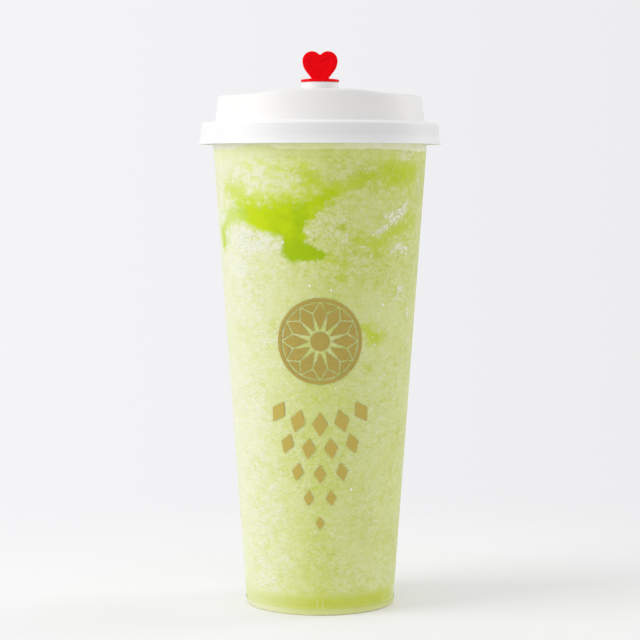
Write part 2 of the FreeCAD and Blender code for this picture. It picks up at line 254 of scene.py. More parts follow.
cup = Finish("frosted_polypropylene", IOR=1.49)
where = cup.place()
x, y, z = cup.millimetres(where)
sideways = cup.turned_by(x, y).sine()
cloudy = cup.noise(where, 7.0, 3.0) - 0.5
dry_rim = (z - drink_level / MM).smooth(*RIM_DRIES)
dry_foot = (z - floor_level / MM).smooth(*FOOT_DRIES)
foot_colour = cup.mixed(z.smooth(*FOOT_RING_PALE), FOOT_GREEN, FOOT_PALE)
# Painted light: the foot is painted paler towards the left, where the lamp is.
foot_colour = cup.mixed(sideways.smooth(*FOOT_PAINTED_LIGHT_SIDE), foot_colour, FOOT_LEFT_PAINTED_LIGHT)
cup.feed(
    Base_Color=cup.mixed(z.smooth(*FOOT_TINTED), MILKY, foot_colour),
    Alpha=WET_FILM + dry_rim.most(dry_foot) * (DRY_FILM - WET_FILM),
    Roughness=0.30 + cloudy * 0.08,
    Normal=cup.bumped(cup.noise(where, 0.35), 0.012, 0.5),
)
finish_node("cup", cup)


# ---------------------------------------------------------------- syrup on the cup's floor
# Melon syrup that has run down and settled, clear and darker than the slush. It lies against the
# wall and round the stacking ribs, and so it is one mesh that reaches just into the wall.

INTO_WALL, INTO_FLOOR = 0.55 * MM, 0.2 * MM
SYRUP_ROWS, AROUND, SHARP_EDGE = 12, 260, math.radians(50)
RIB_COUNT, RIB_HALF = 6, 1.0
WAVE, WAVE_SPREAD = 0.5 * MM, 1.4
WET_ICE = {"IOR": 1.33, "Specular_IOR_Level": 0.2, "Sheen_Weight": 0.25, "Sheen_Roughness": 0.4}
SYRUP_CLOUD, BORDER_CLOUD = 6.0, 3.5
# The third syrup colour is painted light where it pales the sides, and the real pale of the ribs'
# edges; the second cream colour is painted light at the sides.
SYRUP_GREEN, SYRUP_DEEP, SYRUP_RIBS_AND_PAINTED_LIGHT = (0.62, 0.68, 0.13), (0.54, 0.60, 0.06), (0.69, 0.73, 0.39)
CREAM, CREAM_PAINTED_LIGHT, SYRUP_BOTTOM_PAINTED_LIGHT = (0.68, 0.73, 0.34), (0.80, 0.83, 0.54), (0.84, 0.90, 0.34)

# Where its looks fade in: how far to the right, then millimetres from a rib's edge and above the
# floor. The border with the slush fades over BORDER either way.
PAINTED_LIGHT_LEFT, PAINTED_SHEEN_RIGHT = (0.0, -1.0), (0.89, 1.0)
RIB_EDGE, RIB_TOP, BOTTOM_PAINTED_LIFT = (0.55, 0.15), (4.8, 3.9), (1.8, 0.0)
BORDER, BORDER_RAGGED = 2.4, 3.2


def wall_radius(height):
    """Radius of a drink's side at a height, just inside the thickness of the wall."""
    return syrup_radius + wall_slope * (height - syrup_level) + INTO_WALL


def turned_mesh(name, rings):
    """A closed skin over rings of (radius, height) functions of the angle, from foot to top."""
    shape = bmesh.new()
    loops = []
    for ring in rings:
        corners = []
        for step in range(AROUND):
            angle = 2 * math.pi * step / AROUND
            radius, height = ring(angle)
            corner = (radius * math.sin(angle), -radius * math.cos(angle), height)
            corners.append(shape.verts.new(corner))
        loops.append(corners)
    for low, high in zip(loops, loops[1:]):
        for step in range(AROUND):
            after = (step + 1) % AROUND
            shape.faces.new((low[step], low[after], high[after], high[step]))
    for loop, turn in ((loops[0], -1), (loops[-1], 1)):
        middle = sum((corner.co for corner in loop), Vector()) / AROUND
        pole = shape.verts.new(middle)
        for step in range(AROUND):
            pair = (loop[step], loop[(step + 1) % AROUND])[::turn]
            shape.faces.new((*pair, pole))
    mesh = bpy.data.meshes.new(name)
    shape.to_mesh(mesh)
    shape.free()
    return mesh


def new_piece(name, mesh, finish, replaced=None):
    """Shows a mesh as a piece of the object."""
    piece = bpy.data.objects.new(name, mesh)
    bpy.context.scene.collection.objects.link(piece)
    mesh.materials.clear()
    mesh.materials.append(finish.material)
    mesh.shade_smooth()
    mesh.set_sharp_from_angle(angle=SHARP_EDGE)
    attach(piece, "root")
    if replaced:
        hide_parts(replaced)


def side_ring(height_at):
    """A ring of the drink against the wall, at a height that may change round the cup."""

    def ring(angle):
        height = height_at(angle)
        return wall_radius(height), height

    return ring


def syrup_top(angle):
    """Height of the soft, slightly wavy border between syrup and slush."""
    around = Vector((math.sin(angle), math.cos(angle), 4.0))
    return syrup_level + WAVE * noise.noise(around * WAVE_SPREAD)


def sunk(finish, where, z):
    """0 in the slush and 1 in the syrup, through the soft border between the two."""
    uneven = finish.noise(where, BORDER_CLOUD, 3.0, 0.6) - 0.5
    return (z - syrup_level / MM + uneven * BORDER_RAGGED).smooth(BORDER, -BORDER)


def syrup_rings():
    """The syrup's rings, from just inside the floor up to the border."""
    foot = floor_level - INTO_FLOOR
    for step in range(SYRUP_ROWS + 1):
        share = step / SYRUP_ROWS
        yield side_ring(lambda angle, share=share: foot + (syrup_top(angle) - foot) * share)


syrup = Finish("melon_syrup", **WET_ICE)
where = syrup.place()
x, y, z = syrup.millimetres(where)
turn = syrup.turned_by(x, y)
sideways = turn.sine()
above_floor = z - floor_level / MM
clouds = syrup.noise(where, SYRUP_CLOUD, 3.0)
# Painted light and sheen: the syrup is painted paler towards the left, where the lamp is, and at the
# right edge as a painted sheen.
painted_light_and_sheen = sideways.smooth(*PAINTED_LIGHT_LEFT).most(sideways.smooth(*PAINTED_SHEEN_RIGHT))
rib_turns = turn * (RIB_COUNT / (2 * math.pi))
from_rib = abs(rib_turns - rib_turns.rounded()) * (2 * math.pi * syrup_radius / MM / RIB_COUNT)
rib_edge = abs(from_rib - RIB_HALF).smooth(*RIB_EDGE) * above_floor.smooth(*RIB_TOP)
colour = syrup.mixed(clouds, SYRUP_GREEN, SYRUP_DEEP)
colour = syrup.mixed(painted_light_and_sheen.most(rib_edge * 0.4) * 0.85, colour, SYRUP_RIBS_AND_PAINTED_LIGHT)
creamy = (1 - sunk(syrup, where, z)) * (1 + (clouds - 0.5) * 0.6)
# The cream is painted paler at the same sides.
colour = syrup.mixed(creamy, colour, syrup.mixed(painted_light_and_sheen, CREAM, CREAM_PAINTED_LIGHT))
# The bottom of the syrup is painted paler, a painted lift of light against the shade near the cup's
# floor.
syrup.feed(
    Base_Color=syrup.mixed(above_floor.smooth(*BOTTOM_PAINTED_LIFT) * 0.45, colour, SYRUP_BOTTOM_PAINTED_LIGHT),
    Roughness=0.3 + clouds * 0.1,
)
new_piece("melon_syrup", turned_mesh("melon_syrup", list(syrup_rings())), syrup, "syrup")


# ---------------------------------------------------------------- slush
# Blended ice, milk and melon syrup, spooned in until it heaps up under the lid. Frost packs white
# against the wall, syrup runs down between the clumps, and the top is a rough, lumpy mound.

SIDE_ROWS, TOP_ROWS = 250, 40
TOP_INSET = 0.5 * MM
RIPPLE, RIPPLE_SINK, RIPPLES_AROUND = 0.5, -0.2, 5
LUMP, LUMPS_PER_METRE, FLAT_AT_WALL = 1.2 * MM, 160, 4
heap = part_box("smoothie")[1].z - drink_level

# The humps that the spoon left at the wall: degrees round the cup, their spread and their height.
HUMPS = [(-32, 14, 1.3), (60, 10, 0.7)]


def slush_edge(angle):
    """Height at which the slush meets the wall."""
    degrees = math.degrees((angle + math.pi) % (2 * math.pi) - math.pi)
    hump = sum(tall * math.exp(-((degrees - middle) / spread) ** 2) for middle, spread, tall in HUMPS)
    around = Vector((math.sin(angle), math.cos(angle), 1.0))
    ripple = noise.fractal(around * RIPPLES_AROUND, 1.0, 2.0, 4)
    return drink_level + (hump + RIPPLE * ripple + RIPPLE_SINK) * MM


def slush_rings():
    """The slush's rings: up the wall, then in over the heap."""
    for step in range(SIDE_ROWS + 1):
        share = step / SIDE_ROWS
        yield side_ring(lambda angle, share=share: (
            syrup_top(angle) * (1 - share) + slush_edge(angle) * share
        ))
    for step in range(1, TOP_ROWS):
        share = 1 - step / TOP_ROWS

        def ring(angle, share=share):
            radius = share * (wall_radius(drink_level) - TOP_INSET)
            place = Vector((math.sin(angle), math.cos(angle), 0)) * radius * LUMPS_PER_METRE
            lump = noise.fractal(place, 1, 2, 5) * LUMP * min(1, FLAT_AT_WALL * (1 - share))
            rise = heap * (1 - share * share) + (slush_edge(angle) - drink_level) * share**3
            return radius, drink_level + rise + lump

        yield ring


# What shows at the wall, as runs from one place to another: the angle and height of one end, those
# of the other, then the half width at each. Degrees and millimetres. Melon syrup runs down in
# green streaks, thins out between the clumps, and leaves frost and pockets of air beside it.
SYRUP_RUNS = [
    (-61, 153.0, -47, 155.4, 2.8, 4.4),
    (-47, 155.4, -37, 153.3, 4.4, 5.1),
    (-37, 153.3, -17, 151.5, 5.1, 6.7),
    (-16, 153.4, -4, 156.4, 5.1, 3.1),
    (-4, 156.4, 6, 161.3, 3.1, 1.2),
    (-16, 151.2, -14, 145.2, 5.5, 3.9),
    (-15, 145.2, -15, 140.7, 3.9, 4.6),
    (-15, 140.7, -4, 139.2, 4.4, 2.7),
    (-4, 139.2, 2, 138.9, 2.7, 1.2),
    (-61, 152.5, -68, 148.5, 2.8, 1.8),
    (-72, 147.5, -70.5, 143.0, 2.4, 3.0),
]
THIN_RUNS = [
    (35, 171.3, 42, 169.4, 2.7, 5.2),
    (42, 169.4, 58, 169.8, 5.2, 4.7),
    (55, 167.6, 56, 163.0, 3.1, 1.6),
    (30, 168.7, 13, 163.9, 2.4, 2.2),
    (13, 163.9, 2, 161.0, 2.2, 2.0),
    (20, 144.4, 32, 142.5, 1.6, 2.4),
    (32, 142.5, 41, 145.5, 2.4, 2.0),
    (43, 146.5, 62, 150.5, 1.6, 2.6),
    (5, 136.2, 13, 135.3, 1.0, 1.2),
    (10, 130.6, 15, 129.0, 1.0, 1.0),
    (-9, 170.6, -5, 166.5, 1.0, 1.8),
    (-5, 166.5, 5, 163.1, 2.0, 2.2),
    (29, 110.0, 34, 107.0, 2.0, 2.4),
    (-62, 163.0, -47, 162.5, 3.0, 3.0),
    (-50, 159.5, -20, 159.5, 2.4, 1.8),
    (-20, 159.5, -3, 160.0, 1.8, 1.5),
]
FROST_RUNS = [
    (-46, 170.1, -36, 172.1, 3.5, 3.1),
    (-34, 172.4, -23, 172.5, 3.9, 3.6),
    (-23, 171.3, -12, 168.3, 3.9, 3.1),
    (-47, 165.7, -32, 163.8, 2.2, 2.4),
    (-27, 166.8, -4, 165.4, 2.0, 1.6),
    (-51, 144.0, -34, 144.3, 4.5, 4.7),
    (-34, 144.3, -22, 141.4, 4.7, 2.4),
    (-60, 135.4, -52, 133.3, 2.4, 3.1),
    (-8, 146.3, 5, 150.1, 2.4, 4.7),
    (5, 150.1, 18, 144.4, 5.5, 4.7),
    (-10, 172.4, 0, 170.6, 2.0, 1.6),
]
AIR_RUNS = [
    (56, 158.0, 51, 154.7, 1.3, 1.9),
    (51, 154.7, 44, 152.5, 1.9, 2.4),
    (43, 152.7, 38, 154.0, 1.2, 0.8),
    (30, 146.9, 35, 147.6, 0.8, 1.3),
    (35, 147.6, 39, 148.9, 1.3, 1.2),
    (45, 139.9, 49, 141.8, 1.2, 1.3),
    (49, 141.8, 58, 140.4, 1.2, 0.9),
    (51, 121.8, 54, 125.6, 0.7, 1.4),
    (50, 176.0, 56, 176.6, 2.4, 2.2),
    (68, 167.5, 69, 162.9, 0.6, 0.6),
    (64, 116.3, 65, 114.4, 1.0, 0.9),
    (67, 104.6, 67, 102.6, 0.8, 0.8),
]

# How far round and how far down the same runs come again at the back.
BACK_TURN, BACK_DROP = 178, -14


def gap_to_runs(angles, heights, runs):
    """Millimetres from places on the wall to the nearest run, less than 0 inside one."""
    nearest = np.full(len(angles), np.inf)
    for turn, drop in ((0, 0), (BACK_TURN, BACK_DROP)):
        for from_angle, from_height, to_angle, to_height, from_half, to_half in runs:
            per_degree = wall_radius(from_height * MM) / MM * math.radians(1)
            across = ((angles - from_angle - turn + 180) % 360 - 180) * per_degree
            up = heights - from_height - drop
            run_across, run_up = (to_angle - from_angle) * per_degree, to_height - from_height
            along = (across * run_across + up * run_up) / (run_across**2 + run_up**2)
            along = np.clip(along, 0, 1)
            gap = np.hypot(across - along * run_across, up - along * run_up)
            nearest = np.minimum(nearest, gap - from_half - along * (to_half - from_half))
    return nearest


def write_field(mesh, name, values):
    """Keeps a number for each of the mesh's points, for the material to read."""
    mesh.attributes.new(name, "FLOAT", "POINT").data.foreach_set("value", values)


slush_mesh = turned_mesh("melon_slush", list(slush_rings()))
corners = np.empty(len(slush_mesh.vertices) * 3)
slush_mesh.vertices.foreach_get("co", corners)
corners = corners.reshape(-1, 3) / MM
angles, heights = np.degrees(np.arctan2(corners[:, 0], -corners[:, 1])), corners[:, 2]
fields = {"syrup": SYRUP_RUNS, "thin": THIN_RUNS, "frost": FROST_RUNS, "air": AIR_RUNS}
gaps = {field: gap_to_runs(angles, heights, runs) for field, runs in fields.items()}
for field, values in gaps.items():
    write_field(slush_mesh, field, values)

FROST, PALE = (0.82, 0.84, 0.66), (0.72, 0.76, 0.36)
MELON, DEEP = (0.62, 0.68, 0.18), (0.50, 0.58, 0.04)
STREAK_BRIGHT, STREAK_DEEP = (0.54, 0.68, 0.0), (0.37, 0.55, 0.0)
THIN_GREEN, THIN_PAINTED_LIGHT, LIME = (0.54, 0.65, 0.01), (0.62, 0.74, 0.11), (0.64, 0.76, 0.03)
# Both smear colours on this line are painted brighter than the smear is, against the lid's shadow. The
# two on the next line are painted light only.
SMEAR, SMEAR_PAINTED_LIGHT, AIR = (0.95, 0.98, 0.48), (1.0, 1.0, 0.84), (0.76, 0.77, 0.54)
LIFT_PAINTED_LIGHT, LIFT_LEFT_PAINTED_LIGHT = (0.95, 1.0, 0.30), (0.95, 1.0, 0.55)

# Sizes of what the slush is made of, in millimetres, from wide clouds down to single crystals.
CLOUD, ROUGH_PATCH, CLUMP, PUFF, COTTON, CURD, CRYSTAL = 22.0, 15.0, 7.0, 3.8, 2.6, 1.25, 0.62
NUDGE, LYING_FLAT = 2.2, (0.8, 0.8, 1.15)

# Where its looks fade in, nothing at the first number and all of it at the second: how far to
# the right, -1 to 1, then heights in millimetres.
LEFT, RIGHT, EDGE_ON = (0.08, -0.89), (-0.15, 0.59), (-0.8, -0.97)
LIMY_LEFT, LIMY_INWARD, LIMY_BELOW = (0.12, -0.15), (-0.85, -0.6), (177, 173)
UPPER, UPPER_COARSE, LOWER = (152, 158), (120, 155), (135, 110)
SMOOTH_TOP, PAINTED_LIFT_FADES_IN, LEFT_LIFT_FADES_IN = (173, 178), (169, 178), (174, 179)
STREAK_SHADE_INWARD, STREAK_SHADE_LEFT, DEEP_BELOW = (-0.62, -0.3), (-0.8, -0.5), (149, 141)
FAINT_LEFT, FAINT_ABOVE = (-0.62, -0.9), (147, 151)
SMEAR_LEVEL, SMEAR_HUMP, SMEAR_SPREAD = (178.0, 178.8), -37, 14
SMEAR_RIGHT, AT_BACK = (0.65, 0.92), (0, 10)

slush = Finish("melon_slush", **WET_ICE)
where = slush.place()
x, y, z = slush.millimetres(where)
turn = slush.turned_by(x, y)
sideways = turn.sine()


def gap(field):
    """Millimetres to the nearest run of that kind, less than 0 inside it."""
    return slush.add("ShaderNodeAttribute", {"attribute_name": field}, out=2)


flattened = slush.add("ShaderNodeMapping", {}, {"Vector": where, "Scale": LYING_FLAT})
uneven = slush.nudged(flattened, NUDGE, NUDGE)
clouds = slush.noise(where, CLOUD) - 0.5
clumps = slush.noise(where, CLUMP, 3.0, 0.6) - 0.5
cotton = 0.5 - slush.grains(uneven, COTTON, 0.7)
curds = 0.45 - slush.grains(uneven, CURD, 0.5)
grain = 0.5 - slush.grains(where, CRYSTAL, 0.4)
ragged = clumps * 6 + cotton * 4 + curds * 2.5
left, right, back = sideways.smooth(*LEFT), sideways.smooth(*RIGHT), y.smooth(*AT_BACK)

# Packed ice, from deep melon between the clumps to white frost, coarser and limier near the top.
lifted = z - back * BACK_DROP
high = lifted.smooth(*UPPER)
limy = high * z.smooth(*LIMY_BELOW) * sideways.smooth(*LIMY_LEFT) * sideways.smooth(*LIMY_INWARD)
puffs = slush.noise(uneven, PUFF, 2.5, 0.6).smooth(0.37, 0.58)
packed = (gap("frost") + ragged * 1.2).smooth(2.4, -2.4)
frost = packed * (0.75 + cotton * 1.3 + curds * 0.8).most(0).least(1)
rough = slush.noise(where, ROUGH_PATCH, 1.0).smooth(0.38, 0.62)
strong = 0.7 + rough * 0.5 + packed * 0.4
strong = strong + z.smooth(*UPPER_COARSE) * 0.35 - z.smooth(*SMOOTH_TOP) * 0.7
strong = strong * (1 - limy * 0.25) * (1 - sideways.smooth(*EDGE_ON) * 0.6)
texture = clumps * 0.3 + (cotton * 0.30 + curds * 0.30 + grain * 0.25) * strong + limy * puffs * 0.12
# Painted light: the slush is painted paler, with whiter frost, towards the left where the lamp is. It
# is also paler low on the right.
pale = 0.40 + left * 0.45 + frost * (0.08 + left * 0.3) + clouds * 0.25
pale = pale + right * z.smooth(*LOWER) * 0.12 + texture
stops = [(0.0, DEEP), (0.32, MELON), (0.62, PALE), (1.0, FROST)]
colour = slush.add("ShaderNodeValToRGB", {"stops": stops}, {0: pale})
colour = slush.mixed(limy * (0.58 - puffs * 0.44), colour, LIME)

# Thin syrup that tints the ice, and the thick green streak that hangs down over it.
thin = (gap("thin") + ragged * 1.1).smooth(3.0, -3.0) * (0.9 + cotton + curds * 0.6).most(0).least(1)
# The thin syrup is painted lighter towards the left: painted light.
colour = slush.mixed(thin, colour, slush.mixed(left, THIN_GREEN, THIN_PAINTED_LIGHT))
inside = 0 - gap("syrup") - ragged * (0.4 + high * 0.8)
soft = 0.6 + high * 1.9 + left * 1.6 + back * 1.2
streak = ((inside + soft) / (soft * 2)).smooth(0, 1) * (1 - high * packed * 0.5)
streak = streak * (1 - sideways.smooth(*FAINT_LEFT) * z.smooth(*FAINT_ABOVE) * 0.35)
# Painted shade: the streak is painted darker away from the lit left, and more so lower down. The clumps
# darken it at random.
streak_dark_and_painted_shade = 0.1 + sideways.smooth(*STREAK_SHADE_INWARD) * 0.45
streak_dark_and_painted_shade = streak_dark_and_painted_shade + lifted.smooth(*DEEP_BELOW) * sideways.smooth(*STREAK_SHADE_LEFT) * 0.6
streak_dark_and_painted_shade = (streak_dark_and_painted_shade + clumps * 2.2 + cotton * 0.6).most(0).least(1)
colour = slush.mixed(streak, colour, slush.mixed(streak_dark_and_painted_shade, STREAK_BRIGHT, STREAK_DEEP))

# Pale pockets of air, the smear that the lid leaves round the top, painted brighter against the lid's
# shadow, a painted lift of light on the ice under it, and the border with the syrup.
air = (gap("air") + ragged * 0.35).smooth(0.5, -0.9) * (0.7 + curds * 1.6).most(0).least(1)
colour = slush.mixed(air, colour, AIR)
from_hump = (turn * math.degrees(1) - SMEAR_HUMP) / SMEAR_SPREAD
bulge = (1 - from_hump**2).most(0) * 1.9 - sideways.smooth(*SMEAR_RIGHT) * 0.6
smeared = (z - bulge + clumps * 2.5).smooth(*SMEAR_LEVEL) * (0.85 + cotton * 0.4)
# The smear is painted brighter than it is, against the lid's shadow, and brighter still at the left and
# right: painted light.
colour = slush.mixed(smeared, colour, slush.mixed(left.most(right * 0.8), SMEAR, SMEAR_PAINTED_LIGHT))
# Painted light: the top of the slush under the smear is painted paler, a lift against the lid's shadow,
# more so at the left.
painted_top_lift = 0.28 + z.smooth(*LEFT_LIFT_FADES_IN) * left * 0.45 + curds * 0.2
painted_top_lift = z.smooth(*PAINTED_LIFT_FADES_IN) * (1 - smeared) * painted_top_lift
colour = slush.mixed(painted_top_lift, colour, slush.mixed(left, LIFT_PAINTED_LIGHT, LIFT_LEFT_PAINTED_LIGHT))
settled = sunk(slush, where, z) * (0.9 + curds * 0.4).most(0).least(1)
# The settled syrup is painted paler towards the lit left: painted light.
colour = slush.mixed(settled, colour, slush.mixed(left, SYRUP_GREEN, SYRUP_RIBS_AND_PAINTED_LIGHT))
relief = texture + grain * 0.2 + frost * 0.2 + air * 0.4
relief = relief * (1 - streak) * (1 - smeared) * (1 - limy * 0.4)
slush.feed(
    Base_Color=colour,
    Roughness=0.45 - streak * 0.15 - air * 0.2,
    Normal=slush.bumped(relief, 0.7, 0.7),
)
new_piece("melon_slush", slush_mesh, slush, "smoothie")


# ---------------------------------------------------------------- air in the slush
# Froth and small bubbles that were stirred in and are caught against the wall: packed close in a
# few pockets, and scattered one by one lower down, more of them at the right.

BUBBLE_RADIUS, BUBBLE_SPACING, BUBBLE_FLATNESS = 0.55 * MM, 0.75 * MM, 0.3
SMALLEST, LARGEST = 0.45, 1.3
CLOSE_PACKED, AIR_SEED = 2.0e6, 7
BUBBLE_CLOUD = 1.2
BUBBLE_GREEN, BUBBLE_PALE = (0.66, 0.71, 0.36), (0.92, 0.93, 0.82)

# Pockets hold bubbles up to POCKET_TOP: above it the run of air is only a pale smear. Lone bubbles
# are most at LONE_SIDE degrees, and thin out over the second number up to their top and down to
# their foot.
POCKET_FADE, POCKET_TOP = 0.8, 172
LONE_SIDE, LONE_TOP, LONE_FOOT = 62, (152, 20), (14, 6)
LONE_EVERYWHERE, LONE_AT_SIDE = 0.001, 0.008


class Pattern(Nodes):
    """A geometry node tree with named inputs, that turns a seat mesh into what repeats on it."""

    KINDS = {
        float: "NodeSocketFloat",
        int: "NodeSocketInt",
        bpy.types.Material: "NodeSocketMaterial",
    }

    def __init__(self, name, **inputs):
        super().__init__(bpy.data.node_groups.new(name, "GeometryNodeTree"))
        sides = self.tree.interface
        sides.new_socket("Seat", in_out="INPUT", socket_type="NodeSocketGeometry")
        sides.new_socket("Made", in_out="OUTPUT", socket_type="NodeSocketGeometry")
        self.identifiers = {}
        for label, value in inputs.items():
            socket = sides.new_socket(label, in_out="INPUT", socket_type=self.KINDS[type(value)])
            self.identifiers[label] = socket.identifier
        self.values = inputs
        entry = self.tree.nodes.new("NodeGroupInput")
        self.seat, *given = [Signal(self, socket) for socket in entry.outputs[:-1]]
        self.given = dict(zip(inputs, given))

    def ends_in(self, instances, cuts=0):
        """Makes the instances real, with finer faces and their material, and sends them out."""
        real = self.add("GeometryNodeRealizeInstances", {}, {0: instances})
        finer = self.add("GeometryNodeSubdivideMesh", {}, {"Mesh": real, "Level": cuts})
        dress = {"Geometry": finer, "Material": self.given["Material"]}
        dressed = self.add("GeometryNodeSetMaterial", {}, dress)
        way_out = self.tree.nodes.new("NodeGroupOutput")
        self.link(dressed, way_out.inputs[0])

    def grown_on(self, seat, **changed):
        """The plain mesh that the tree makes on a seat mesh."""
        carrier = bpy.data.objects.new(seat.name, seat)
        bpy.context.scene.collection.objects.link(carrier)
        modifier = carrier.modifiers.new(self.tree.name, "NODES")
        modifier.node_group = self.tree
        for label, value in {**self.values, **changed}.items():
            modifier[self.identifiers[label]] = value
        made = carrier.evaluated_get(bpy.context.evaluated_depsgraph_get())
        mesh = bpy.data.meshes.new_from_object(made)
        bpy.data.objects.remove(carrier)
        return mesh


froth = Finish("trapped_air", Roughness=0.25, IOR=1.33)
cloudy = froth.noise(froth.place(), BUBBLE_CLOUD).smooth(0.35, 0.65)
froth.feed(Base_Color=froth.mixed(cloudy, BUBBLE_GREEN, BUBBLE_PALE))

bubbles = Pattern(
    "bubbles_at_the_wall",
    Radius=BUBBLE_RADIUS, Spacing=BUBBLE_SPACING, Seed=AIR_SEED, Material=froth.material,
)
given = bubbles.given
share = bubbles.add("GeometryNodeInputNamedAttribute", {"data_type": "FLOAT"}, {"Name": "airy"})
scatter = {"Mesh": bubbles.seat, "Distance Min": given["Spacing"], "Density Max": CLOSE_PACKED}
seats = bubbles.add(
    "GeometryNodeDistributePointsOnFaces", {"distribute_method": "POISSON"},
    {**scatter, "Density Factor": share, "Seed": given["Seed"]},
)
upright = Signal(bubbles, seats.socket.node.outputs["Rotation"])
round_ball = {"Segments": 8, "Rings": 5, "Radius": given["Radius"]}
ball = bubbles.add("GeometryNodeMeshUVSphere", {}, round_ball)
span = {
    "Min": (SMALLEST, SMALLEST, 0.5 * BUBBLE_FLATNESS),
    "Max": (LARGEST, LARGEST, 1.2 * BUBBLE_FLATNESS),
    "Seed": given["Seed"],
}
sizes = bubbles.add("FunctionNodeRandomValue", {"data_type": "FLOAT_VECTOR"}, span)
bubbles.ends_in(bubbles.add("GeometryNodeInstanceOnPoints", {}, {
    "Points": seats, "Instance": ball, "Rotation": upright, "Scale": sizes,
}))

pocketed = np.clip(0.5 - gaps["air"] / POCKET_FADE, 0, 1) * np.clip(POCKET_TOP - heights, 0, 1)
toward_side = np.clip(np.cos(np.radians(angles - LONE_SIDE)), 0, 1) ** 3
below_top = np.clip((LONE_TOP[0] - heights) / LONE_TOP[1], 0, 1)
above_foot = np.clip((heights - LONE_FOOT[0]) / LONE_FOOT[1], 0, 1)
alone = below_top * above_foot * (LONE_EVERYWHERE + LONE_AT_SIDE * toward_side)
air_seat = slush_mesh.copy()
write_field(air_seat, "airy", pocketed + alone)
new_piece("trapped_air", bubbles.grown_on(air_seat), froth)


# ---------------------------------------------------------------- gold print
# A round star mosaic and a fan of diamonds that hangs under it, screen-printed on the outside of
# the cup in one pass of gold ink, before the cup is filled.

WALL, INK, MERGED = 0.8 * MM, 0.04 * MM, 0.01 * MM
PRINT_CENTRE = 106.2 * MM

# The mosaic, in millimetres from its middle, and the gap between its pieces.
HUB_HOLE, HUB, KITE_FOOT, KITE_WIDEST, KITE_TIP = 0.05, 3.6, 4.3, 10.3, 14.3
BAND_FOOT, BAND_TOP = 15.1, 16.4
KITES, SLICES, GAP = 12, 72, 0.3

# The fan: its drop below the mosaic, its rows and pitch, and half the height and width of a diamond
# in the top row, each with what every row below adds.
FAN_DROP, DIAMOND_ROWS, DIAMOND_STEP, DIAMOND_PITCH = 15.36, 5, 9.6, 8.6
DIAMOND_TALL, DIAMOND_WIDE = (4.6, -0.5), (3.0, -0.35)
GOLD, GOLD_PALE, GOLD_LOW = (0.38, 0.275, 0.045), (0.52, 0.41, 0.10), (0.56, 0.44, 0.09)
GOLD_SPECK, GOLD_PATCH, GOLD_FADES = 0.7, 9.0, (95, 80)


def flat_motif(name, corners):
    """One flat face, drawn in millimetres with its foot towards the middle of the print."""
    mesh = bpy.data.meshes.new(name)
    mesh.from_pydata([(x * MM, y * MM, 0) for x, y in corners], [], [range(len(corners))])
    return mesh


def sector(foot, top, count):
    """A slice of a ring from foot to top, as wide as count of them need to close the ring."""
    lean = math.tan(math.pi / count)
    return [(-foot * lean, foot), (foot * lean, foot), (top * lean, top), (-top * lean, top)]


ink = Finish("gold_ink", Metallic=0.45, IOR=1.5)
where = ink.place()
z = ink.millimetres(where)[2]
specks = ink.noise(where, GOLD_SPECK, 2.0, 0.7).smooth(0.3, 0.7)
mottled = specks * 0.5 + ink.noise(where, GOLD_PATCH) * 0.5
gold = ink.mixed(mottled, GOLD, GOLD_PALE)
ink.feed(
    Base_Color=ink.mixed(z.smooth(*GOLD_FADES) * 0.8, gold, GOLD_LOW),
    Roughness=0.42 + mottled * 0.12,
    Normal=ink.bumped(mottled, 0.02, 0.5),
)

fan = Pattern("fan_of_motifs", Count=SLICES, Radius=0.0, First=0.0, Step=0.0, Material=ink.material)
given = fan.given
turn = given["First"] + fan.add("GeometryNodeInputIndex") * given["Step"]
place = {0: turn.cosine() * given["Radius"], 1: turn.sine() * given["Radius"]}
points = fan.add("GeometryNodePoints", {}, {
    "Count": given["Count"],
    "Position": fan.add("ShaderNodeCombineXYZ", {}, place),
})
facing = fan.add("ShaderNodeCombineXYZ", {}, {2: turn - math.pi / 2})
fan.ends_in(fan.add("GeometryNodeInstanceOnPoints", {}, {
    "Points": points, "Instance": fan.seat, "Rotation": facing,
}), cuts=2)


def full_turn(name, corners, count, first=0.0):
    """Copies of a motif all the way round the middle of the print."""
    motif = flat_motif(name, corners)
    return fan.grown_on(motif, Count=count, First=first, Step=2 * math.pi / count)


half_kite = KITE_WIDEST * math.tan(math.pi / KITES) - GAP
between = KITE_WIDEST / math.cos(math.pi / KITES) + 2.5 * GAP
half_wedge = KITE_TIP * math.sin(math.pi / KITES) - 1.5 * GAP
kite = [(0, KITE_FOOT), (half_kite, KITE_WIDEST), (0, KITE_TIP), (-half_kite, KITE_WIDEST)]
wedge = [(0, between), (half_wedge, KITE_TIP), (-half_wedge, KITE_TIP)]
prints = [
    full_turn("hub", sector(HUB_HOLE, HUB, SLICES), SLICES),
    full_turn("kite", kite, KITES),
    full_turn("wedge", wedge, KITES, math.pi / KITES),
    full_turn("band", sector(BAND_FOOT, BAND_TOP, SLICES), SLICES),
]
for row in range(DIAMOND_ROWS):
    count = DIAMOND_ROWS - row
    distance = BAND_TOP + FAN_DROP + row * DIAMOND_STEP
    tall, wide = (first + row * more for first, more in (DIAMOND_TALL, DIAMOND_WIDE))
    step = DIAMOND_PITCH / distance
    diamond = flat_motif("diamond", [(0, -tall), (wide, 0), (0, tall), (-wide, 0)])
    prints.append(fan.grown_on(
        diamond, Count=count, Radius=distance * MM, Step=step,
        First=-math.pi / 2 - step * (count - 1) / 2,
    ))

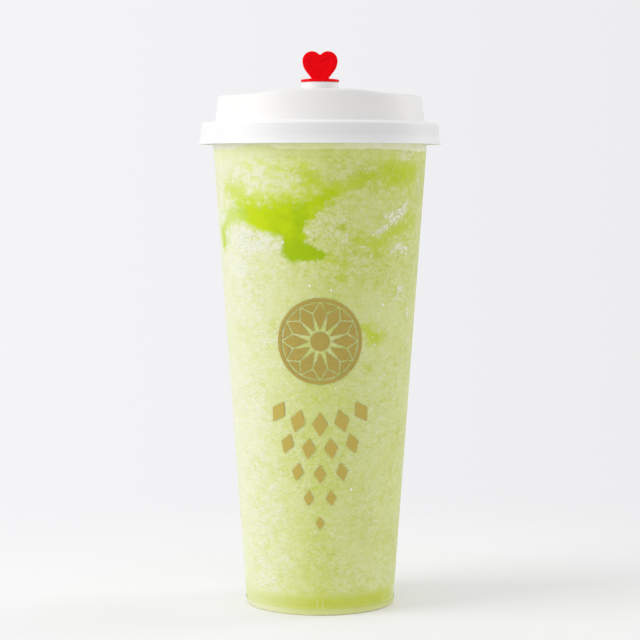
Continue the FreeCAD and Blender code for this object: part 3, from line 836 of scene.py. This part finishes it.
sheet = bmesh.new()
for flat in prints:
    sheet.from_mesh(flat)
bmesh.ops.remove_doubles(sheet, verts=sheet.verts, dist=MERGED)
rolled_out = math.hypot(1, wall_slope)
for corner in sheet.verts:
    height = PRINT_CENTRE + corner.co.y / rolled_out
    radius = wall_radius(height) - INTO_WALL + WALL + INK / 2
    turn = corner.co.x / radius
    corner.co = (radius * math.sin(turn), -radius * math.cos(turn), height)
print_mesh = bpy.data.meshes.new("gold_print")
sheet.to_mesh(print_mesh)
sheet.free()
print_piece = bpy.data.objects.new("gold_print_blank", print_mesh)
bpy.context.scene.collection.objects.link(print_piece)
thickened = print_piece.modifiers.new("ink", "SOLIDIFY")
thickened.thickness, thickened.offset = INK, 0.0
printed = print_piece.evaluated_get(bpy.context.evaluated_depsgraph_get())
layer = bpy.data.meshes.new_from_object(printed)
bpy.data.objects.remove(print_piece)
new_piece("gold_print", layer, ink)


# ---------------------------------------------------------------- lid
# White polypropylene, moulded about a millimetre thick, with a smooth satin skin. It is pressed
# over the cup's rim until the bead inside its skirt snaps in below.

SKIRT_WHITE, CROWN_WHITE = (0.845, 0.834, 0.840), (0.848, 0.838, 0.828)
# On the next line, the first white is a painted highlight for the ledge and the second a painted shade
# for a band on the skirt.
LEDGE_PAINTED_HIGHLIGHT, SKIRT_PAINTED_SHADE = (0.93, 0.93, 0.925), (0.805, 0.790, 0.800)

# Where the crown's colour, the ledge's painted highlight and the skirt's band of painted shade fade in:
# millimetres above the skirt's foot, then how far to the right, -1 to 1.
LEDGE_BEGINS, LEDGE_ENDS, CROWN_BEGINS = (7.3, 7.9), (9.0, 8.6), (8.4, 9.9)
SHADE_BAND_BEGINS, SHADE_BAND_ENDS, SHADE_BAND_RIGHT = (2.6, 3.8), (7.5, 6.9), (-0.7, 0.1)

lid = Finish("white_polypropylene", IOR=1.49)
where = lid.place()
x, y, z = lid.millimetres(where)
sideways = lid.turned_by(x, y).sine()
above_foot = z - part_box("lid")[0].z / MM
flow = lid.noise(where, 18.0)
painted_ledge_highlight = above_foot.smooth(*LEDGE_BEGINS) * above_foot.smooth(*LEDGE_ENDS)
painted_skirt_shade = above_foot.smooth(*SHADE_BAND_BEGINS) * above_foot.smooth(*SHADE_BAND_ENDS)
colour = lid.mixed(above_foot.smooth(*CROWN_BEGINS), SKIRT_WHITE, CROWN_WHITE)
# Painted shade: a band low on the skirt is painted darker, towards the right.
colour = lid.mixed(painted_skirt_shade * sideways.smooth(*SHADE_BAND_RIGHT), colour, SKIRT_PAINTED_SHADE)
# The ledge is painted lighter, a painted highlight where its top faces the light.
lid.feed(
    Base_Color=lid.mixed(painted_ledge_highlight * 0.8 + flow * 0.15, colour, LEDGE_PAINTED_HIGHLIGHT),
    Roughness=0.42 + flow * 0.08,
    Normal=lid.bumped(lid.noise(where, 0.4), 0.006, 0.5),
)
finish_node("lid", lid)


# ---------------------------------------------------------------- heart plug
# A stopper moulded in one piece of glossy red polypropylene: a heart to hold it by, a round flange
# that covers the straw hole, and a hollow stem under it that is pushed into the hole.

HEART_RED, HEART_BRIGHT = (0.86, 0.0, 0.004), (0.91, 0.001, 0.006)

plug = Finish("red_polypropylene", IOR=1.49, Specular_IOR_Level=0.05)
where = plug.place()
flow = plug.noise(where, 5.0)
plug.feed(
    Base_Color=plug.mixed(flow, HEART_RED, HEART_BRIGHT),
    Roughness=0.28 + flow * 0.06,
    Normal=plug.bumped(plug.noise(where, 0.5), 0.006, 0.5),
)
finish_node("heart_plug", plug)


# ---------------------------------------------------------------- studio
# A seamless pale sweep: a floor that fades into a pale background, a large soft lamp on the
# left, a weaker one on the right, and even light from all round.

BACK_LEFT, BACK_RIGHT = (0.913, 0.913, 0.93), (0.84, 0.84, 0.855)
BACK_TURNS, AMBIENT = (-0.25, 0.25), 0.75
FLOOR_HALF = 3.0
PAPER_NEAR, PAPER_FAR = (0.93, 0.92, 0.98), (0.92, 0.92, 0.935)
PAPER_TURNS, PAPER_CLEARS = (30, 90), (90, 300)
LAMPS_AIM = 0.10

world = bpy.data.worlds.new("studio")
world.use_nodes = True
bpy.context.scene.world = world
sky = Nodes(world.node_tree)
kinds = "Is Camera Ray", "Is Glossy Ray", "Is Transmission Ray"
seen = [sky.add("ShaderNodeLightPath", out=ray) for ray in kinds]
direction = sky.add("ShaderNodeTexCoord")
across = sky.add("ShaderNodeSeparateXYZ", {}, {0: direction}).smooth(*BACK_TURNS)
background = sky.mixed(across, BACK_LEFT, BACK_RIGHT)
backdrop = sky.add("ShaderNodeBackground", {}, {"Color": background})
ambient = sky.add("ShaderNodeBackground", {}, {"Color": (1.0, 1.0, 1.0), "Strength": AMBIENT})
shown = seen[0].most(seen[1]).most(seen[2])
both = sky.add("ShaderNodeMixShader", {}, {0: shown, 1: ambient, 2: backdrop})
sky.link(both, sky.tree.nodes["World Output"].inputs["Surface"])

floor_mesh = bpy.data.meshes.new("floor")
corners = [(-1, -1, 0), (1, -1, 0), (1, 1, 0), (-1, 1, 0)]
floor_mesh.from_pydata([Vector(corner) * FLOOR_HALF for corner in corners], [], [(0, 1, 2, 3)])
floor = bpy.data.objects.new("floor", floor_mesh)
bpy.context.scene.collection.objects.link(floor)
paper = Finish("pale_paper", Roughness=0.9)
x, y = paper.millimetres(paper.place())[:2]
away = (x * x + y * y) ** 0.5
paper.feed(Base_Color=paper.mixed(away.smooth(*PAPER_TURNS), PAPER_NEAR, PAPER_FAR))
clear = paper.add("ShaderNodeBsdfTransparent")
surface = paper.add("ShaderNodeMixShader", {}, {0: away.smooth(*PAPER_CLEARS), 2: clear})
paper.tree.links.new(paper.shader.outputs[0], surface.socket.node.inputs[1])
paper.link(surface, paper.tree.nodes["Material Output"].inputs["Surface"])
floor_mesh.materials.append(paper.material)


def soft_lamp(name, azimuth, elevation, distance, size, power):
    """An area lamp that looks at the cup from an angle round it and a height above it."""
    data = bpy.data.lights.new(name, "AREA")
    data.shape, data.size, data.size_y = "RECTANGLE", *size
    data.energy = power
    lamp = bpy.data.objects.new(name, data)
    turn, lift = math.radians(azimuth), math.radians(elevation)
    level = math.cos(lift)
    out = Vector((math.sin(turn) * level, -math.cos(turn) * level, math.sin(lift)))
    lamp.location = Vector((0, 0, LAMPS_AIM)) + out * distance
    lamp.rotation_euler = out.to_track_quat("Z", "Y").to_euler()
    bpy.context.scene.collection.objects.link(lamp)


soft_lamp("key", azimuth=-73, elevation=26, distance=1.2, size=(0.75, 1.0), power=6.75)
soft_lamp("fill", azimuth=112, elevation=22, distance=1.3, size=(0.5, 0.9), power=3.2)

bpy.context.scene.view_settings.view_transform = "Standard"
